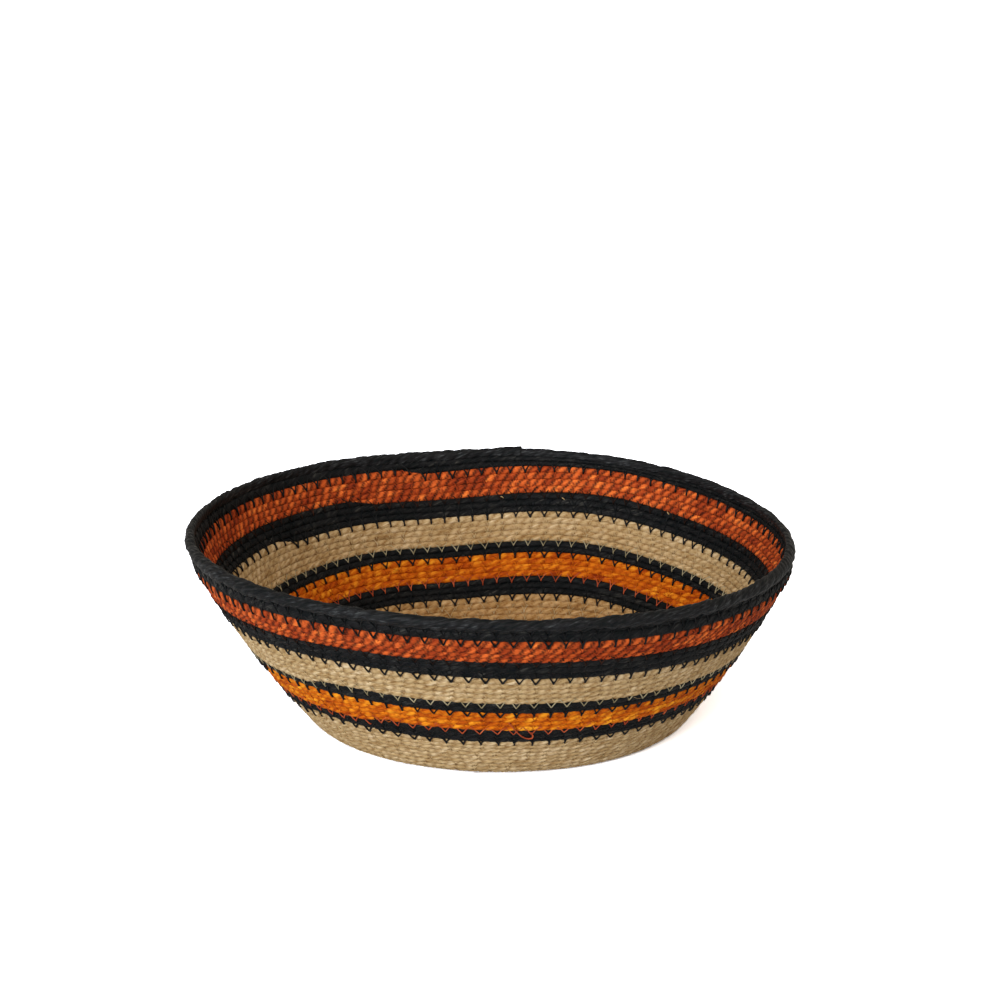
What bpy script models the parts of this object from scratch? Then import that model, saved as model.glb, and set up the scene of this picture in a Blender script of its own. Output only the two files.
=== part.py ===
"""Striped bowl of coiled and sewn seagrass cord.

A single line of cord winds from the middle of the floor, round the heel and up the
flaring wall, clockwise as seen from above. Every colour is its own length of cord,
spliced on where the last one ends, so the edge of a stripe climbs one row in each turn
and drops back at its splice.
The rim is a thick rolled cord on a black row that tapers away to carry it level.

Metres, +Z up. The bowl stands on Z = 0, and its origin is under the middle of its box.
"""
from math import cos, exp, pi, radians, sin

import bmesh
import bpy
from mathutils import Vector

# The cord and its coil
CORD_PITCH = 0.003745
CORD_THICKNESS = 0.0042
GROOVE_DEPTH = 0.0011
EYE_RADIUS = 0.0019
STEPS_PER_TURN = 30

# The small turns in the middle of the floor take longer steps: up to so many turns from
# the middle, three steps or two are joined into one
TRIPLE_STEP_TURNS = 5
DOUBLE_STEP_TURNS = 14

# Where the cords rest on the floor, this share of each row is pressed flat
FLAT_SHARE = 0.7

# The bowl's section: a flat floor, a tight heel, then a wall that steepens slowly
FLOOR_RADIUS = 0.0968
HEEL_RADIUS = 0.0105
HEEL_ANGLE = radians(51.5)
WALL_ARC_RADIUS = 0.566

# The rim as it was finished by hand: it leans and lifts to one side, is warped and a
# little oval, and its last rows turn in at the left and the right
RIM_SHIFT = 0.0048
RIM_LIFT = 0.003
LEAN_ANGLE = radians(190)
RIM_WARP = 0.0018
WARP_ANGLE = radians(73)
RIM_OVAL = 0.001
OVAL_ANGLE = radians(36)
RIM_PINCH = 0.004
PINCH_TURNS = 2

# The rows as they were sewn: lower at the front than at the back, where they rise and dip
# side by side. The drift sets in over the lower share of the wall, and dies out over the
# upper one, below the rim
ROW_DROP = 0.0022
ROW_TILT = 0.003
ROW_RISE = 0.0018
RISE_ANGLE = radians(68)
ROW_DIP = 0.0027
DIP_ANGLE = radians(102)
WAVE_ANGLE = radians(15)
LOWER_DRIFT_SHARE = 0.4
UPPER_DRIFT_SHARE = 0.1

# The thick cord on the rim. It starts a little past the start of the row below it, and
# its end meets its own thinner start
RIM_JOINT_TURNS = 0.07
RIM_CORD_DIAMETER = 0.0058
RIM_START_DIAMETER = 0.0048
RIM_START_TURNS = 0.12
RIM_CORD_SIDES = 8

# Clearance between one length of cord and the next
SEAT_GAP = 0.0003

# Turns of cord above the floor, from the heel up
HEEL_TURNS = 9.07
LOWER_BLACK_TURNS = 2.93
ORANGE_TURNS = 4.1
UPPER_BLACK_TURNS = 1.93
NATURAL_TURNS = 5.23
WIDE_BLACK_TURNS = 3.07
RUST_TURNS = 4.03
RIM_ROW_FULL_TURNS = 1
RIM_ROW_TAPERED_TURNS = 0.85

# Each length of cord on the wall and its colour
WALL_CORDS = (
    ("heel_cord", HEEL_TURNS, "natural_seagrass"),
    ("lower_black_cord", LOWER_BLACK_TURNS, "black_seagrass"),
    ("orange_cord", ORANGE_TURNS, "orange_seagrass"),
    ("upper_black_cord", UPPER_BLACK_TURNS, "black_seagrass"),
    ("natural_cord", NATURAL_TURNS, "natural_seagrass"),
    ("wide_black_cord", WIDE_BLACK_TURNS, "black_seagrass"),
    ("rust_cord", RUST_TURNS, "rust_seagrass"),
)

# Base colour and roughness of each dyed seagrass
FINISHES = {
    "natural_seagrass": ((0.50, 0.36, 0.19, 1.0), 0.75),
    "black_seagrass": ((0.012, 0.012, 0.014, 1.0), 0.5),
    "orange_seagrass": ((0.58, 0.15, 0.012, 1.0), 0.65),
    "rust_seagrass": ((0.33, 0.065, 0.016, 1.0), 0.6),
    "rim_seagrass": ((0.016, 0.017, 0.019, 1.0), 0.5),
}

# Edges sharper than this stay crisp, such as the cut end of a cord
CRISP_ANGLE = radians(60)

half_thickness = CORD_THICKNESS / 2
step_angle = -2 * pi / STEPS_PER_TURN


def steps_in(turns):
    """Whole steps of the coil in a number of turns."""
    return round(turns * STEPS_PER_TURN)


floor_steps = steps_in((FLOOR_RADIUS - EYE_RADIUS) / CORD_PITCH)
rim_row_first = floor_steps + sum(steps_in(turns) for name, turns, finish in WALL_CORDS)
rim_row_last = rim_row_first + steps_in(RIM_ROW_FULL_TURNS + RIM_ROW_TAPERED_TURNS)
rim_seat = EYE_RADIUS + CORD_PITCH * (rim_row_first / STEPS_PER_TURN + RIM_ROW_FULL_TURNS + 1)


def seam_distance(step):
    """Distance from the middle, along the section, of the seam below the cord.

    Past the end of the tapered row, the row below it rises to the rim cord's seat.
    """
    if step > rim_row_last:
        return rim_seat
    return min(EYE_RADIUS + CORD_PITCH * step / STEPS_PER_TURN, rim_seat)


def stations(first, last):
    """The steps at which the cord has a cross-section, from its first to its last."""
    step = first
    while step < last:
        yield step
        joined = 1
        if step < steps_in(TRIPLE_STEP_TURNS):
            joined = 3
        elif step < steps_in(DOUBLE_STEP_TURNS):
            joined = 2
        step = min(step + joined, last)
    yield last


def section(distance):
    """Radius, height and slope of the middle of the cords at a distance along them."""
    if distance <= FLOOR_RADIUS:
        return distance, 0.0, 0.0
    slope = (distance - FLOOR_RADIUS) / HEEL_RADIUS
    if slope <= HEEL_ANGLE:
        return FLOOR_RADIUS + HEEL_RADIUS * sin(slope), HEEL_RADIUS * (1 - cos(slope)), slope
    slope = HEEL_ANGLE + (distance - FLOOR_RADIUS - HEEL_RADIUS * HEEL_ANGLE) / WALL_ARC_RADIUS
    radius = (FLOOR_RADIUS + HEEL_RADIUS * sin(HEEL_ANGLE)
              + WALL_ARC_RADIUS * (sin(slope) - sin(HEEL_ANGLE)))
    height = (HEEL_RADIUS * (1 - cos(HEEL_ANGLE))
              + WALL_ARC_RADIUS * (cos(HEEL_ANGLE) - cos(slope)))
    return radius, height, slope


rim_radius, rim_height, rim_slope = section(rim_seat)


def turned_in(distance):
    """How far the last rows have turned in: 0 below them and 1 at the rim cord."""
    return max(0.0, 1 + (distance - rim_seat - CORD_PITCH) / (CORD_PITCH * (PINCH_TURNS + 1)))


def near(angle, middle):
    """How near an angle is to the middle of a wave in the rows: 1 there, 0 far from it."""
    turned = (angle - middle + pi) % (2 * pi) - pi
    return exp(-(turned / WAVE_ANGLE) ** 2)


def row_drift(distance, angle):
    """How far up the wall the rows lie from where an even coil would have them."""
    up_wall = (distance - FLOOR_RADIUS) / (rim_seat - FLOOR_RADIUS)
    share = min(1.0, up_wall / LOWER_DRIFT_SHARE, (1 - up_wall) / UPPER_DRIFT_SHARE)
    wave = ROW_RISE * near(angle, RISE_ANGLE) - ROW_DIP * near(angle, DIP_ANGLE)
    return max(0.0, share) * (ROW_TILT * sin(angle) - ROW_DROP + wave)


def bowl_point(distance, angle, depth, slide=0.0):
    """A point of the bowl, depth outwards from the middle of the cords.

    slide moves the point round the bowl, along the cord.
    """
    radius, height, slope = section(distance + row_drift(distance, angle))
    if slide:
        angle = angle - slide / radius
    radius += depth * sin(slope)
    height += half_thickness - depth * cos(slope)
    rise = height / rim_height
    lift = RIM_LIFT * cos(angle - LEAN_ANGLE) * radius / rim_radius
    warp = RIM_WARP * cos(2 * (angle - WARP_ANGLE))
    radius += RIM_OVAL * cos(2 * (angle - OVAL_ANGLE)) * rise
    radius -= RIM_PINCH * cos(angle) ** 2 * turned_in(distance)
    return Vector((
        radius * cos(angle) + RIM_SHIFT * cos(LEAN_ANGLE) * rise,
        radius * sin(angle) + RIM_SHIFT * sin(LEAN_ANGLE) * rise,
        height + (lift + warp) * rise,
    ))


def coil(name, first, last, finish, underside_shares=(0.5,)):
    """One length of cord as a closed body, from its first step round to its last.

    Turns that lie side by side share the seam between them. Each row is a groove, a crown
    and a groove on the inside of the bowl. On the outside its crown has a point at each
    of underside_shares. Where it begins, the cord sits SEAT_GAP above the one below.
    """
    turn = STEPS_PER_TURN
    groove = half_thickness - GROOVE_DEPTH
    shell = bmesh.new()
    inner_seam, outer_seam, inner_crown, outer_crown = {}, {}, {}, {}
    crown_steps = list(stations(first, last))
    seam_steps = set(crown_steps) | {step + turn for step in crown_steps}
    spliced = first > 0

    def add(distance, step, depth, at_start):
        slide = SEAT_GAP if at_start and spliced else 0.0
        return shell.verts.new(bowl_point(distance, step * step_angle, depth, slide))

    for step in sorted(seam_steps):
        distance = seam_distance(step)
        if step <= first + turn and spliced:
            distance += SEAT_GAP
        at_start = step in (first, first + turn)
        inner_seam[step] = add(distance, step, -groove, at_start)
        outer_seam[step] = add(distance, step, groove, at_start)
    for step in crown_steps:
        below = seam_distance(step)
        width = seam_distance(step + turn) - below
        crown = groove + GROOVE_DEPTH * width / CORD_PITCH
        inner_crown[step] = add(below + width / 2, step, -crown, step == first)
        outer_crown[step] = [add(below + width * share, step, crown, step == first)
                             for share in underside_shares]

    def along(seam, start, end):
        return [seam[step] for step in range(start, end + 1) if step in seam]

    for here, there in zip(crown_steps, crown_steps[1:]):
        for seam, near, far in (
                (inner_seam, [inner_crown[here]], [inner_crown[there]]),
                (outer_seam, outer_crown[here], outer_crown[there])):
            shell.faces.new(along(seam, here, there) + [far[0], near[0]])
            shell.faces.new(along(seam, here + turn, there + turn) + [far[-1], near[-1]])
            for k in range(len(near) - 1):
                shell.faces.new((near[k], far[k], far[k + 1], near[k + 1]))

    def edge_wall(start, end):
        """Join the inside to the outside along a free seam."""
        inside = along(inner_seam, start, end)
        outside = along(outer_seam, start, end)
        for k in range(len(inside) - 1):
            shell.faces.new((inside[k], inside[k + 1], outside[k + 1], outside[k]))

    def cut_end(step):
        """The inside and the outside of a cord's cut end, from lower to upper seam."""
        inside = [inner_seam[step], inner_crown[step], inner_seam[step + turn]]
        outside = [outer_seam[step], *outer_crown[step], outer_seam[step + turn]]
        return inside, outside

    inside, outside = cut_end(last)
    shell.faces.new(inside + outside[::-1])
    edge_wall(max(last, first + turn), last + turn)
    inside, outside = cut_end(first)
    if spliced:
        shell.faces.new(inside + outside[::-1])
        edge_wall(first, min(first + turn, last))
    else:
        for seam, end, depth in ((inner_seam, inside, -groove), (outer_seam, outside, groove)):
            eye = shell.verts.new(bowl_point(0.0, 0.0, depth))
            shell.faces.new([eye, *end])
            first_turn = along(seam, first, first + turn)
            for near, far in zip(first_turn, first_turn[1:]):
                shell.faces.new((eye, near, far))
    return finish_object(name, shell, finish)


def rim_roll(name, finish):
    """The thick cord on the rim: one turn, whose end meets its own thinner start."""
    roll = bmesh.new()
    first = rim_row_first + steps_in(RIM_JOINT_TURNS)
    last = first + STEPS_PER_TURN
    thin_steps = steps_in(RIM_START_TURNS)
    rings = []
    for step in range(first, last + 1):
        thin = max(0.0, (first + thin_steps - step) / thin_steps)
        cord_radius = (RIM_CORD_DIAMETER + (RIM_START_DIAMETER - RIM_CORD_DIAMETER) * thin) / 2
        middle = rim_seat + SEAT_GAP + cord_radius
        slide = -SEAT_GAP if step == last else 0.0
        ring = []
        for side in range(RIM_CORD_SIDES):
            around = 2 * pi * side / RIM_CORD_SIDES
            distance = middle + cord_radius * cos(around)
            ring.append(roll.verts.new(
                bowl_point(distance, step * step_angle, cord_radius * sin(around), slide)))
        rings.append(ring)
    for here, there in zip(rings, rings[1:]):
        for side in range(RIM_CORD_SIDES):
            beside = (side + 1) % RIM_CORD_SIDES
            roll.faces.new((here[side], here[beside], there[beside], there[side]))
    roll.faces.new(rings[0])
    roll.faces.new(rings[-1])
    return finish_object(name, roll, finish)


def seagrass(finish):
    """The dyed or natural seagrass of that name, made once."""
    material = bpy.data.materials.get(finish)
    if material is None:
        colour, roughness = FINISHES[finish]
        material = bpy.data.materials.new(finish)
        material.use_nodes = True
        shader = material.node_tree.nodes["Principled BSDF"]
        shader.inputs["Base Color"].default_value = colour
        shader.inputs["Roughness"].default_value = roughness
        shader.inputs["Metallic"].default_value = 0.0
        material.diffuse_color = colour
    return material


def finish_object(name, shell, finish):
    """Turn a closed bmesh into a smooth-shaded object with its material."""
    bmesh.ops.recalc_face_normals(shell, faces=shell.faces)
    mesh = bpy.data.meshes.new(name)
    shell.to_mesh(mesh)
    shell.free()
    mesh.shade_smooth()
    mesh.set_sharp_from_angle(angle=CRISP_ANGLE)
    mesh.materials.append(seagrass(finish))
    piece = bpy.data.objects.new(name, mesh)
    bpy.context.scene.collection.objects.link(piece)
    return piece


def stand_on_origin(pieces):
    """Put the middle of the bowl's box, at the height of the floor, on the origin."""
    corners = [point.co for piece in pieces for point in piece.data.vertices]
    low = Vector([min(point[axis] for point in corners) for axis in range(3)])
    high = Vector([max(point[axis] for point in corners) for axis in range(3)])
    middle = (low + high) / 2
    for piece in pieces:
        piece.location = (-middle.x, -middle.y, -low.z)


def main():
    for old in list(bpy.data.objects):
        bpy.data.objects.remove(old, do_unlink=True)
    flat_edges = ((1 - FLAT_SHARE) / 2, (1 + FLAT_SHARE) / 2)
    pieces = [coil("floor_cord", 0, floor_steps, "natural_seagrass", flat_edges)]
    first = floor_steps
    for name, turns, finish in WALL_CORDS:
        last = first + steps_in(turns)
        pieces.append(coil(name, first, last, finish))
        first = last
    pieces.append(coil("rim_row_cord", rim_row_first, rim_row_last, "black_seagrass"))
    pieces.append(rim_roll("rim_cord", "rim_seagrass"))
    stand_on_origin(pieces)


main()
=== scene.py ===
"""The looks of the striped seagrass bowl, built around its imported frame.

Every length of cord is drawn again as two plies twisted together, wound on the route
that the frame's solids have. Zigzag threads sew each row to the ones below it, inside
and outside, in the colour of the cord above. Metres, +Z up, in the frame's own place.
"""

from math import cos, pi, radians, sin

import bpy
import numpy as np
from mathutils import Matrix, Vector


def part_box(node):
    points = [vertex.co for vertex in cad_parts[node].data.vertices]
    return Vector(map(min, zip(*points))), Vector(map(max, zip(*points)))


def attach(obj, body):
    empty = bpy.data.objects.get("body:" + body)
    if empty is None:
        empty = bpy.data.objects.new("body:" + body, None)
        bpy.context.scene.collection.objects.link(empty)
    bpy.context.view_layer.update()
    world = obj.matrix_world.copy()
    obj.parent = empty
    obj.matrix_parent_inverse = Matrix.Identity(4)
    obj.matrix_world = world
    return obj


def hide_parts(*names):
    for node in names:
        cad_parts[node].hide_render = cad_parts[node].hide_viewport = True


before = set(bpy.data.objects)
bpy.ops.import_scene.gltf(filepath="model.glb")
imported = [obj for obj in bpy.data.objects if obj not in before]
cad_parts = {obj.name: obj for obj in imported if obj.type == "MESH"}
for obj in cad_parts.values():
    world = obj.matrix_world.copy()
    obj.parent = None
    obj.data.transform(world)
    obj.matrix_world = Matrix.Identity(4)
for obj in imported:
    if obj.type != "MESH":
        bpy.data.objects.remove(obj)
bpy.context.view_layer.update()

MM = 0.001
FULL_CIRCLE = 360

# The fewest rings, stitches or changes of a noise that a cord or a turn has
LEAST_COUNT = 4

# The coil's route, as the frame's solids have it
CORD_PITCH = 3.745 * MM
CORD_THICKNESS = 4.2 * MM
EYE_RADIUS = 1.9 * MM
STEPS_PER_TURN = 30
FLOOR_RADIUS = 96.8 * MM
HEEL_RADIUS = 10.5 * MM
HEEL_ANGLE = radians(51.5)
WALL_ARC_RADIUS = 566 * MM
RIM_SHIFT = 4.8 * MM
RIM_LIFT = 3 * MM
LEAN_ANGLE = radians(190)
RIM_WARP = 1.8 * MM
WARP_ANGLE = radians(73)
RIM_OVAL = 1 * MM
OVAL_ANGLE = radians(36)
RIM_PINCH = 4 * MM
PINCH_TURNS = 2
ROW_DROP = 2.2 * MM
ROW_TILT = 3 * MM
ROW_RISE = 1.8 * MM
RISE_ANGLE = radians(68)
ROW_DIP = 2.7 * MM
DIP_ANGLE = radians(102)
WAVE_ANGLE = radians(15)
LOWER_DRIFT_SHARE = 0.4
UPPER_DRIFT_SHARE = 0.1
RIM_CORD_DIAMETER = 5.8 * MM
RIM_START_DIAMETER = 4.8 * MM
RIM_START_TURNS = 0.12
RIM_JOINT_TURNS = 0.07
RIM_CORD_SIDES = 8
SEAT_GAP = 0.3 * MM
WALL_CORDS = (
    ("heel_cord", 9.07, "natural"),
    ("lower_black_cord", 2.93, "black"),
    ("orange_cord", 4.1, "orange"),
    ("upper_black_cord", 1.93, "black"),
    ("natural_cord", 5.23, "natural"),
    ("wide_black_cord", 3.07, "black"),
    ("rust_cord", 4.03, "rust"),
)
RIM_ROW_TURNS = 1.85
TAPER_END_PARTS = 7

# Finer unevenness than the frame's solids have, in millimetres up the wall, every 30 degrees
# round the bowl: for rows at these distances from the rim cord's seat, and for the rim itself
FINE_LEVELS = (-122.0, -86.0, -60.0, -34.0, -22.0, -7.0)
FINE_DRIFTS = (
    (0, 0, 0, 0, 0, 0, 0, 0, 0, 0, 0, 0),
    (-1.0, -0.6, 2.0, 1.4, 0.9, 0.6, 0.3, 0.0, 1.2, 0.4, -0.1, 0.6),
    (-0.6, -0.2, 0.6, 1.2, 1.2, 0.0, -1.0, -2.0, 0.6, 0.0, -1.5, -1.2),
    (-1.6, -1.3, -0.1, -0.5, -0.6, -1.2, -2.0, -1.6, 1.3, 0.6, -1.5, -2.6),
    (-1.4, -1.2, 1.0, -0.4, -0.8, -0.4, -1.6, -2.2, 2.0, 2.2, 1.2, -0.4),
    (0.6, 0.6, 2.6, 1.4, -1.6, -0.6, -3.8, -4.6, -1.8, -0.7, -3.8, -3.2),
)
RIM_ANGLES = (0, 20, 35, 50, 68, 85, 98, 110, 124, 144, 165, 190, 225, 270, 300, 335)
RIM_DRIFTS = (-0.5, -0.9, -1.0, 0.1, 1.4, 1.4, -0.9, -0.9, 1.0, 1.7, 0.9, 0.0, -1.0, -1.5,
              -1.7, -0.9)
DRIFT_STEP = 30

# A cord's section and its two plies
FINE_STEPS_PER_TURN = 720
RING_SPACING = 1.15 * MM
CORD_SIDES = 14
ROW_OVERLAP = 1.13
SQUARENESS = 3.0
THIN_ROW_DEPTHS = (0.45, 0.55)
PLY_LAY = 11 * MM
FIBRE_TWIST = 0.3
NOTCH_DEPTH = 0.24
NOTCH_WIDTH = 0.38
FLOOR_PRESS = 0.25 * MM

# How a cord wanders: how far, and over what length
SWELL, SWELL_LENGTH = 0.05, 21 * MM
WANDER, LEAN_LENGTH, LIFT_LENGTH = 0.13 * MM, 34 * MM, 27 * MM
TWIST_WANDER, TWIST_WANDER_LENGTH = 1.3, 60 * MM

# A cord's ends: rounded ends, tapered splices, and the bit that closes the coil's eye
END_ROUNDING = 0.6 * MM
END_SIZES = (0.06, 0.94)
SPLICE_TURNS = 0.017
SPLICE_SHARE = 0.8
EYE_TURNS = 0.85
LAST_STEP_SHARE = 0.95
FIRST_BIT_ANGLE = radians(282)
FIRST_BIT_RINGS = 11
FIRST_BIT_LENGTH = 2.7
FIRST_BIT_BACK = 1.2
FIRST_BIT_SIZE = 0.85

# Where painted shade makes a cord darker: between its plies, along its edges in places, and deep in
# the bowl, where it is also warmer, standing in for light bounced inside the bowl
GAP_SHADE_WIDTH = 0.5
GAP_SHADES = (0.35, 0.65)
EDGE_SHADE_START, EDGE_SHADE_WIDTH, EDGE_SHADE = 0.62, 0.2, 0.8
EDGE_SHADE_PATCHES, EDGE_SHADE_PATCH_LENGTH = 0.2, 2.6 * MM
DEEP_SHADE_SHARE = 0.75

# The sewing: V's whose tips pierce the row below, and whose arms close up in places.
# Inside a stripe the thread lies finer and deeper than across a stripe's edge
STITCH_PITCH = 8.8 * MM
THREAD_RADII = {"natural": 0.27 * MM, "black": 0.45 * MM, "orange": 0.30 * MM,
                "rust": 0.29 * MM}
INNER_THREAD = 0.75
INNER_THREAD_DEPTH = 0.42 * MM
STITCH_TOP = 0.86
STITCH_TIP = -0.72
INNER_REACH = 0.28
STITCH_SHIFT = 0.05
STITCH_REACH = 0.12
STITCH_SHARES = (0.0, 0.03, 0.08, 0.22, 0.4, 0.58, 0.76, 0.92, 0.97)
STITCH_GROUP = 3
SPARE_KNOTS = 8
DIVE = 1.0 * MM
DIVE_SHARE, DIVE_CURVE = 0.07, 1.5
OWN_ROW_SHARE = 0.25
OWN_ROW_DEPTH = 0.6 * MM
CROWN_DEPTHS, CROWN_CURVE = (0.92, 0.08), 0.8
THREAD_STAND = 0.7
STRAIGHT_ARM = 1.4
ARM_CURVES = {"natural": 0.8, "black": 3.0, "orange": 1.2, "rust": 1.2}
CLOSED_SHIFT, CLOSED_STITCHES = 0.2, 5.0
THREAD_SIDES = 5
THREAD_SWELL, THREAD_SWELL_LENGTH = 0.2, 15 * MM
# The stitch holes: the cord dents in there, and painted shade darkens them
HOLE_LENGTH = 1.0 * MM
HOLE_HEIGHT_SHARE = 0.2
HOLE_DEPTH = 0.45 * MM
HOLE_TOP_SHARE = 0.6
HOLE_FACE = 0.3

# How far the thread keeps from the coil's middle, the turns round the eye that aren't sewn,
# and the fewest turns that get a thread
EYE_CLEARANCE = 0.4 * MM
SEWN_FROM = 1.5
LEAST_SEWN = 0.1

# The thick cord on the rim: three plies with fine strands, pressed flat where it is sewn down
RIM_RING_SPACING = 0.95 * MM
RIM_SIDES = 42
RIM_LAY = 20 * MM
RIM_PLIES = 3
RIM_NOTCH = 0.19
RIM_STRANDS = 23
RIM_STRAND_DEPTH = 0.018
RIM_SIZE = 1.05
RIM_LUMPS = ((0.07, 17 * MM, 0), (0.13, 5.5 * MM, 5))
RIM_LEAN_LENGTH = 45 * MM
RIM_TWIST_WANDER, RIM_TWIST_WANDER_LENGTH = 2.4, 38 * MM
RIM_SINK = 0.45 * MM
RIM_PRESS, RIM_PRESS_START, RIM_PRESS_WIDTH = 0.22, 0.55, 0.3
RIM_END_TURNS = 0.0012

# Loose bits, in millimetres along the rows, up them and off them, and how finely and how
# often a path through such points is smoothed
LOOSE_STEPS = 8
LOOSE_SMOOTHINGS = 3
ORANGE_TANGLE = ((-5.5, 9.5, -0.4), (-3.6, 7.0, 0.5), (-1.9, 3.6, 0.6), (-0.2, 0.6, 0.6),
                 (1.2, -1.6, 0.6), (3.2, -3.8, 0.5), (5.2, -4.7, 0.5), (7.0, -4.0, 0.6),
                 (7.4, -2.0, 0.6), (6.2, 0.8, -0.5))
ORANGE_TANGLE_PLACE = (275.1, 74.6)
KNOT = ((-0.8, -0.4, -0.1), (-0.3, -0.1, 0.5), (0.3, 0.3, 0.55), (0.7, 0.45, -0.1))
KNOT_PLACES = ((88.1, 24.2), (74.3, 26.0), (48.5, 22.6))
TANGLE_RADIUS = 0.38 * MM
KNOT_RADIUS = 0.3 * MM
STRAYS = (("natural", 70, 34, 58), ("natural", 90, 84, 116), ("black", 40, 21, 34),
          ("black", 30, 56, 66), ("orange", 40, 64, 76), ("rust", 30, 8, 22))
STRAY_REACHES = (2.0, 7.0)
STRAY_SLOPES = (-0.7, 0.7)
STRAY_LIFTS = (0.25, 0.9)
STRAY_RADII = (0.05, 0.085)
STRAY_ENDS = (-0.3, 0.1)

# The stitches, each cord, each loose bit and each lot of fibres have seeds of their own
STITCH_SEED = 11
CORD_SEEDS = 100
EDGE_SEED, INNER_SEED, SIDE_SEED = 30, 50, 10
FIRST_BIT_SEED = 90
RIM_SEED, TANGLE_SEED, KNOT_SEED, STRAY_SEED = 2000, 2100, 2200, 2300
STRAY_SEEDS = 200

# The camera, on the line of sight that the photograph was taken along
CAMERA_PLACE = Vector((0.0, -1.6582, 0.5855))
CAMERA_DOWN = radians(15.66)
CAMERA_LENS = 113.8
CAMERA_SENSOR = 36.0
CAMERA_REACH = 50

# The surround's colour as a light, and the sun lamps: energy, colour, and degrees of spread,
# tilt and turn
SURROUND_LIGHT = (0.52, 0.475, 0.405, 1)
LAMPS = {
    "key": (3.25, (0.93, 0.98, 1.0), 35, 76, -33),
    "fill": (0.95, (1.0, 0.92, 0.80), 60, 42, 35),
}

# The floor: half its side, and its colour as a surface and as the camera sees it
FLOOR_REACH = 9.0
FLOOR_COLOUR = (0.77, 0.79, 0.83, 1)
FLOOR_SEEN = (2.75, 2.92, 3.35, 1)

# The fibre's grain: how fast streaks change across a cord and slow changes in each direction,
# what the streaks' values span, and the relief that streaks and patches make
STREAK_ACROSS = 1700
SLOW_CHANGES = (9, 60, 60)
STREAK_RANGE = (0.3, 0.7)
PATCH_RELIEF = 0.35
RELIEF_DEPTH = 0.45 * MM

# A colour mix node's two colour inputs and its colour output
MIX_FIRST, MIX_SECOND = 6, 7
MIX_RESULT = 2

half_thickness = CORD_THICKNESS / 2
full_turn = 2 * pi


def steps_in(turns):
    """Whole steps of the coil in a number of turns, as the frame's solids have them."""
    return round(turns * STEPS_PER_TURN)


def coil_lengths():
    """Each length of cord with its first and last place on the coil, in turns."""
    step = steps_in((FLOOR_RADIUS - EYE_RADIUS) / CORD_PITCH)
    lengths = [("floor_cord", 0.0, step / STEPS_PER_TURN, "natural")]
    for name, turns, finish in WALL_CORDS:
        first = step
        step += steps_in(turns)
        lengths.append((name, first / STEPS_PER_TURN, step / STEPS_PER_TURN, finish))
    first = step / STEPS_PER_TURN
    last = (step + steps_in(RIM_ROW_TURNS)) / STEPS_PER_TURN
    lengths.append(("rim_row_cord", first, last, "black"))
    return lengths


lengths = coil_lengths()
rim_first, rim_row_last = lengths[-1][1:3]
rim_seat = EYE_RADIUS + CORD_PITCH * (rim_first + 2)
rim_start = rim_first + steps_in(RIM_JOINT_TURNS) / STEPS_PER_TURN


def coil_angle(turns):
    """Angle round the bowl of a place on the coil, which climbs clockwise from above."""
    return -full_turn * turns


def seam_distance(turns):
    """Distance from the middle, along the section, of the seam below the cord.

    Past the end of the tapered row, the row below it rises to the rim cord's seat, which
    is nearer than one of the parts that TAPER_END_PARTS divides the pitch into.
    """
    turns = np.asarray(turns, float)
    risen = np.clip((turns - rim_row_last) * STEPS_PER_TURN, 0.0, 1.0)
    return np.minimum(EYE_RADIUS + CORD_PITCH * (turns + risen / TAPER_END_PARTS), rim_seat)


def section(distance):
    """Radius, height and slope of the middle of the cords at distances along them."""
    distance = np.asarray(distance, float)
    heel = np.clip((distance - FLOOR_RADIUS) / HEEL_RADIUS, 0.0, HEEL_ANGLE)
    past_heel = distance - FLOOR_RADIUS - HEEL_RADIUS * HEEL_ANGLE
    wall = np.maximum(past_heel, 0.0) / WALL_ARC_RADIUS
    radius = (np.minimum(distance, FLOOR_RADIUS) + HEEL_RADIUS * np.sin(heel)
              + WALL_ARC_RADIUS * (np.sin(HEEL_ANGLE + wall) - sin(HEEL_ANGLE)))
    height = (HEEL_RADIUS * (1 - np.cos(heel))
              + WALL_ARC_RADIUS * (cos(HEEL_ANGLE) - np.cos(HEEL_ANGLE + wall)))
    return radius, height, heel + wall


rim_radius, rim_height = (float(value) for value in section(rim_seat)[:2])


def turned_in(distance):
    """How far the last rows have turned in: 0 below them and 1 at the rim cord."""
    turns_below = (rim_seat + CORD_PITCH - distance) / CORD_PITCH
    return np.maximum(0.0, 1 - turns_below / (PINCH_TURNS + 1))


def near(angle, middle):
    """How near angles are to the middle of a wave in the rows: 1 there, 0 far from it."""
    turned = (angle - middle + pi) % full_turn - pi
    return np.exp(-(turned / WAVE_ANGLE) ** 2)


def row_drift(distance, angle):
    """How far up the wall the rows lie from where an even coil would have them."""
    up_wall = (distance - FLOOR_RADIUS) / (rim_seat - FLOOR_RADIUS)
    share = np.minimum(up_wall / LOWER_DRIFT_SHARE, (1 - up_wall) / UPPER_DRIFT_SHARE)
    wave = ROW_RISE * near(angle, RISE_ANGLE) - ROW_DIP * near(angle, DIP_ANGLE)
    return np.clip(share, 0.0, 1.0) * (ROW_TILT * np.sin(angle) - ROW_DROP + wave)


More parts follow.
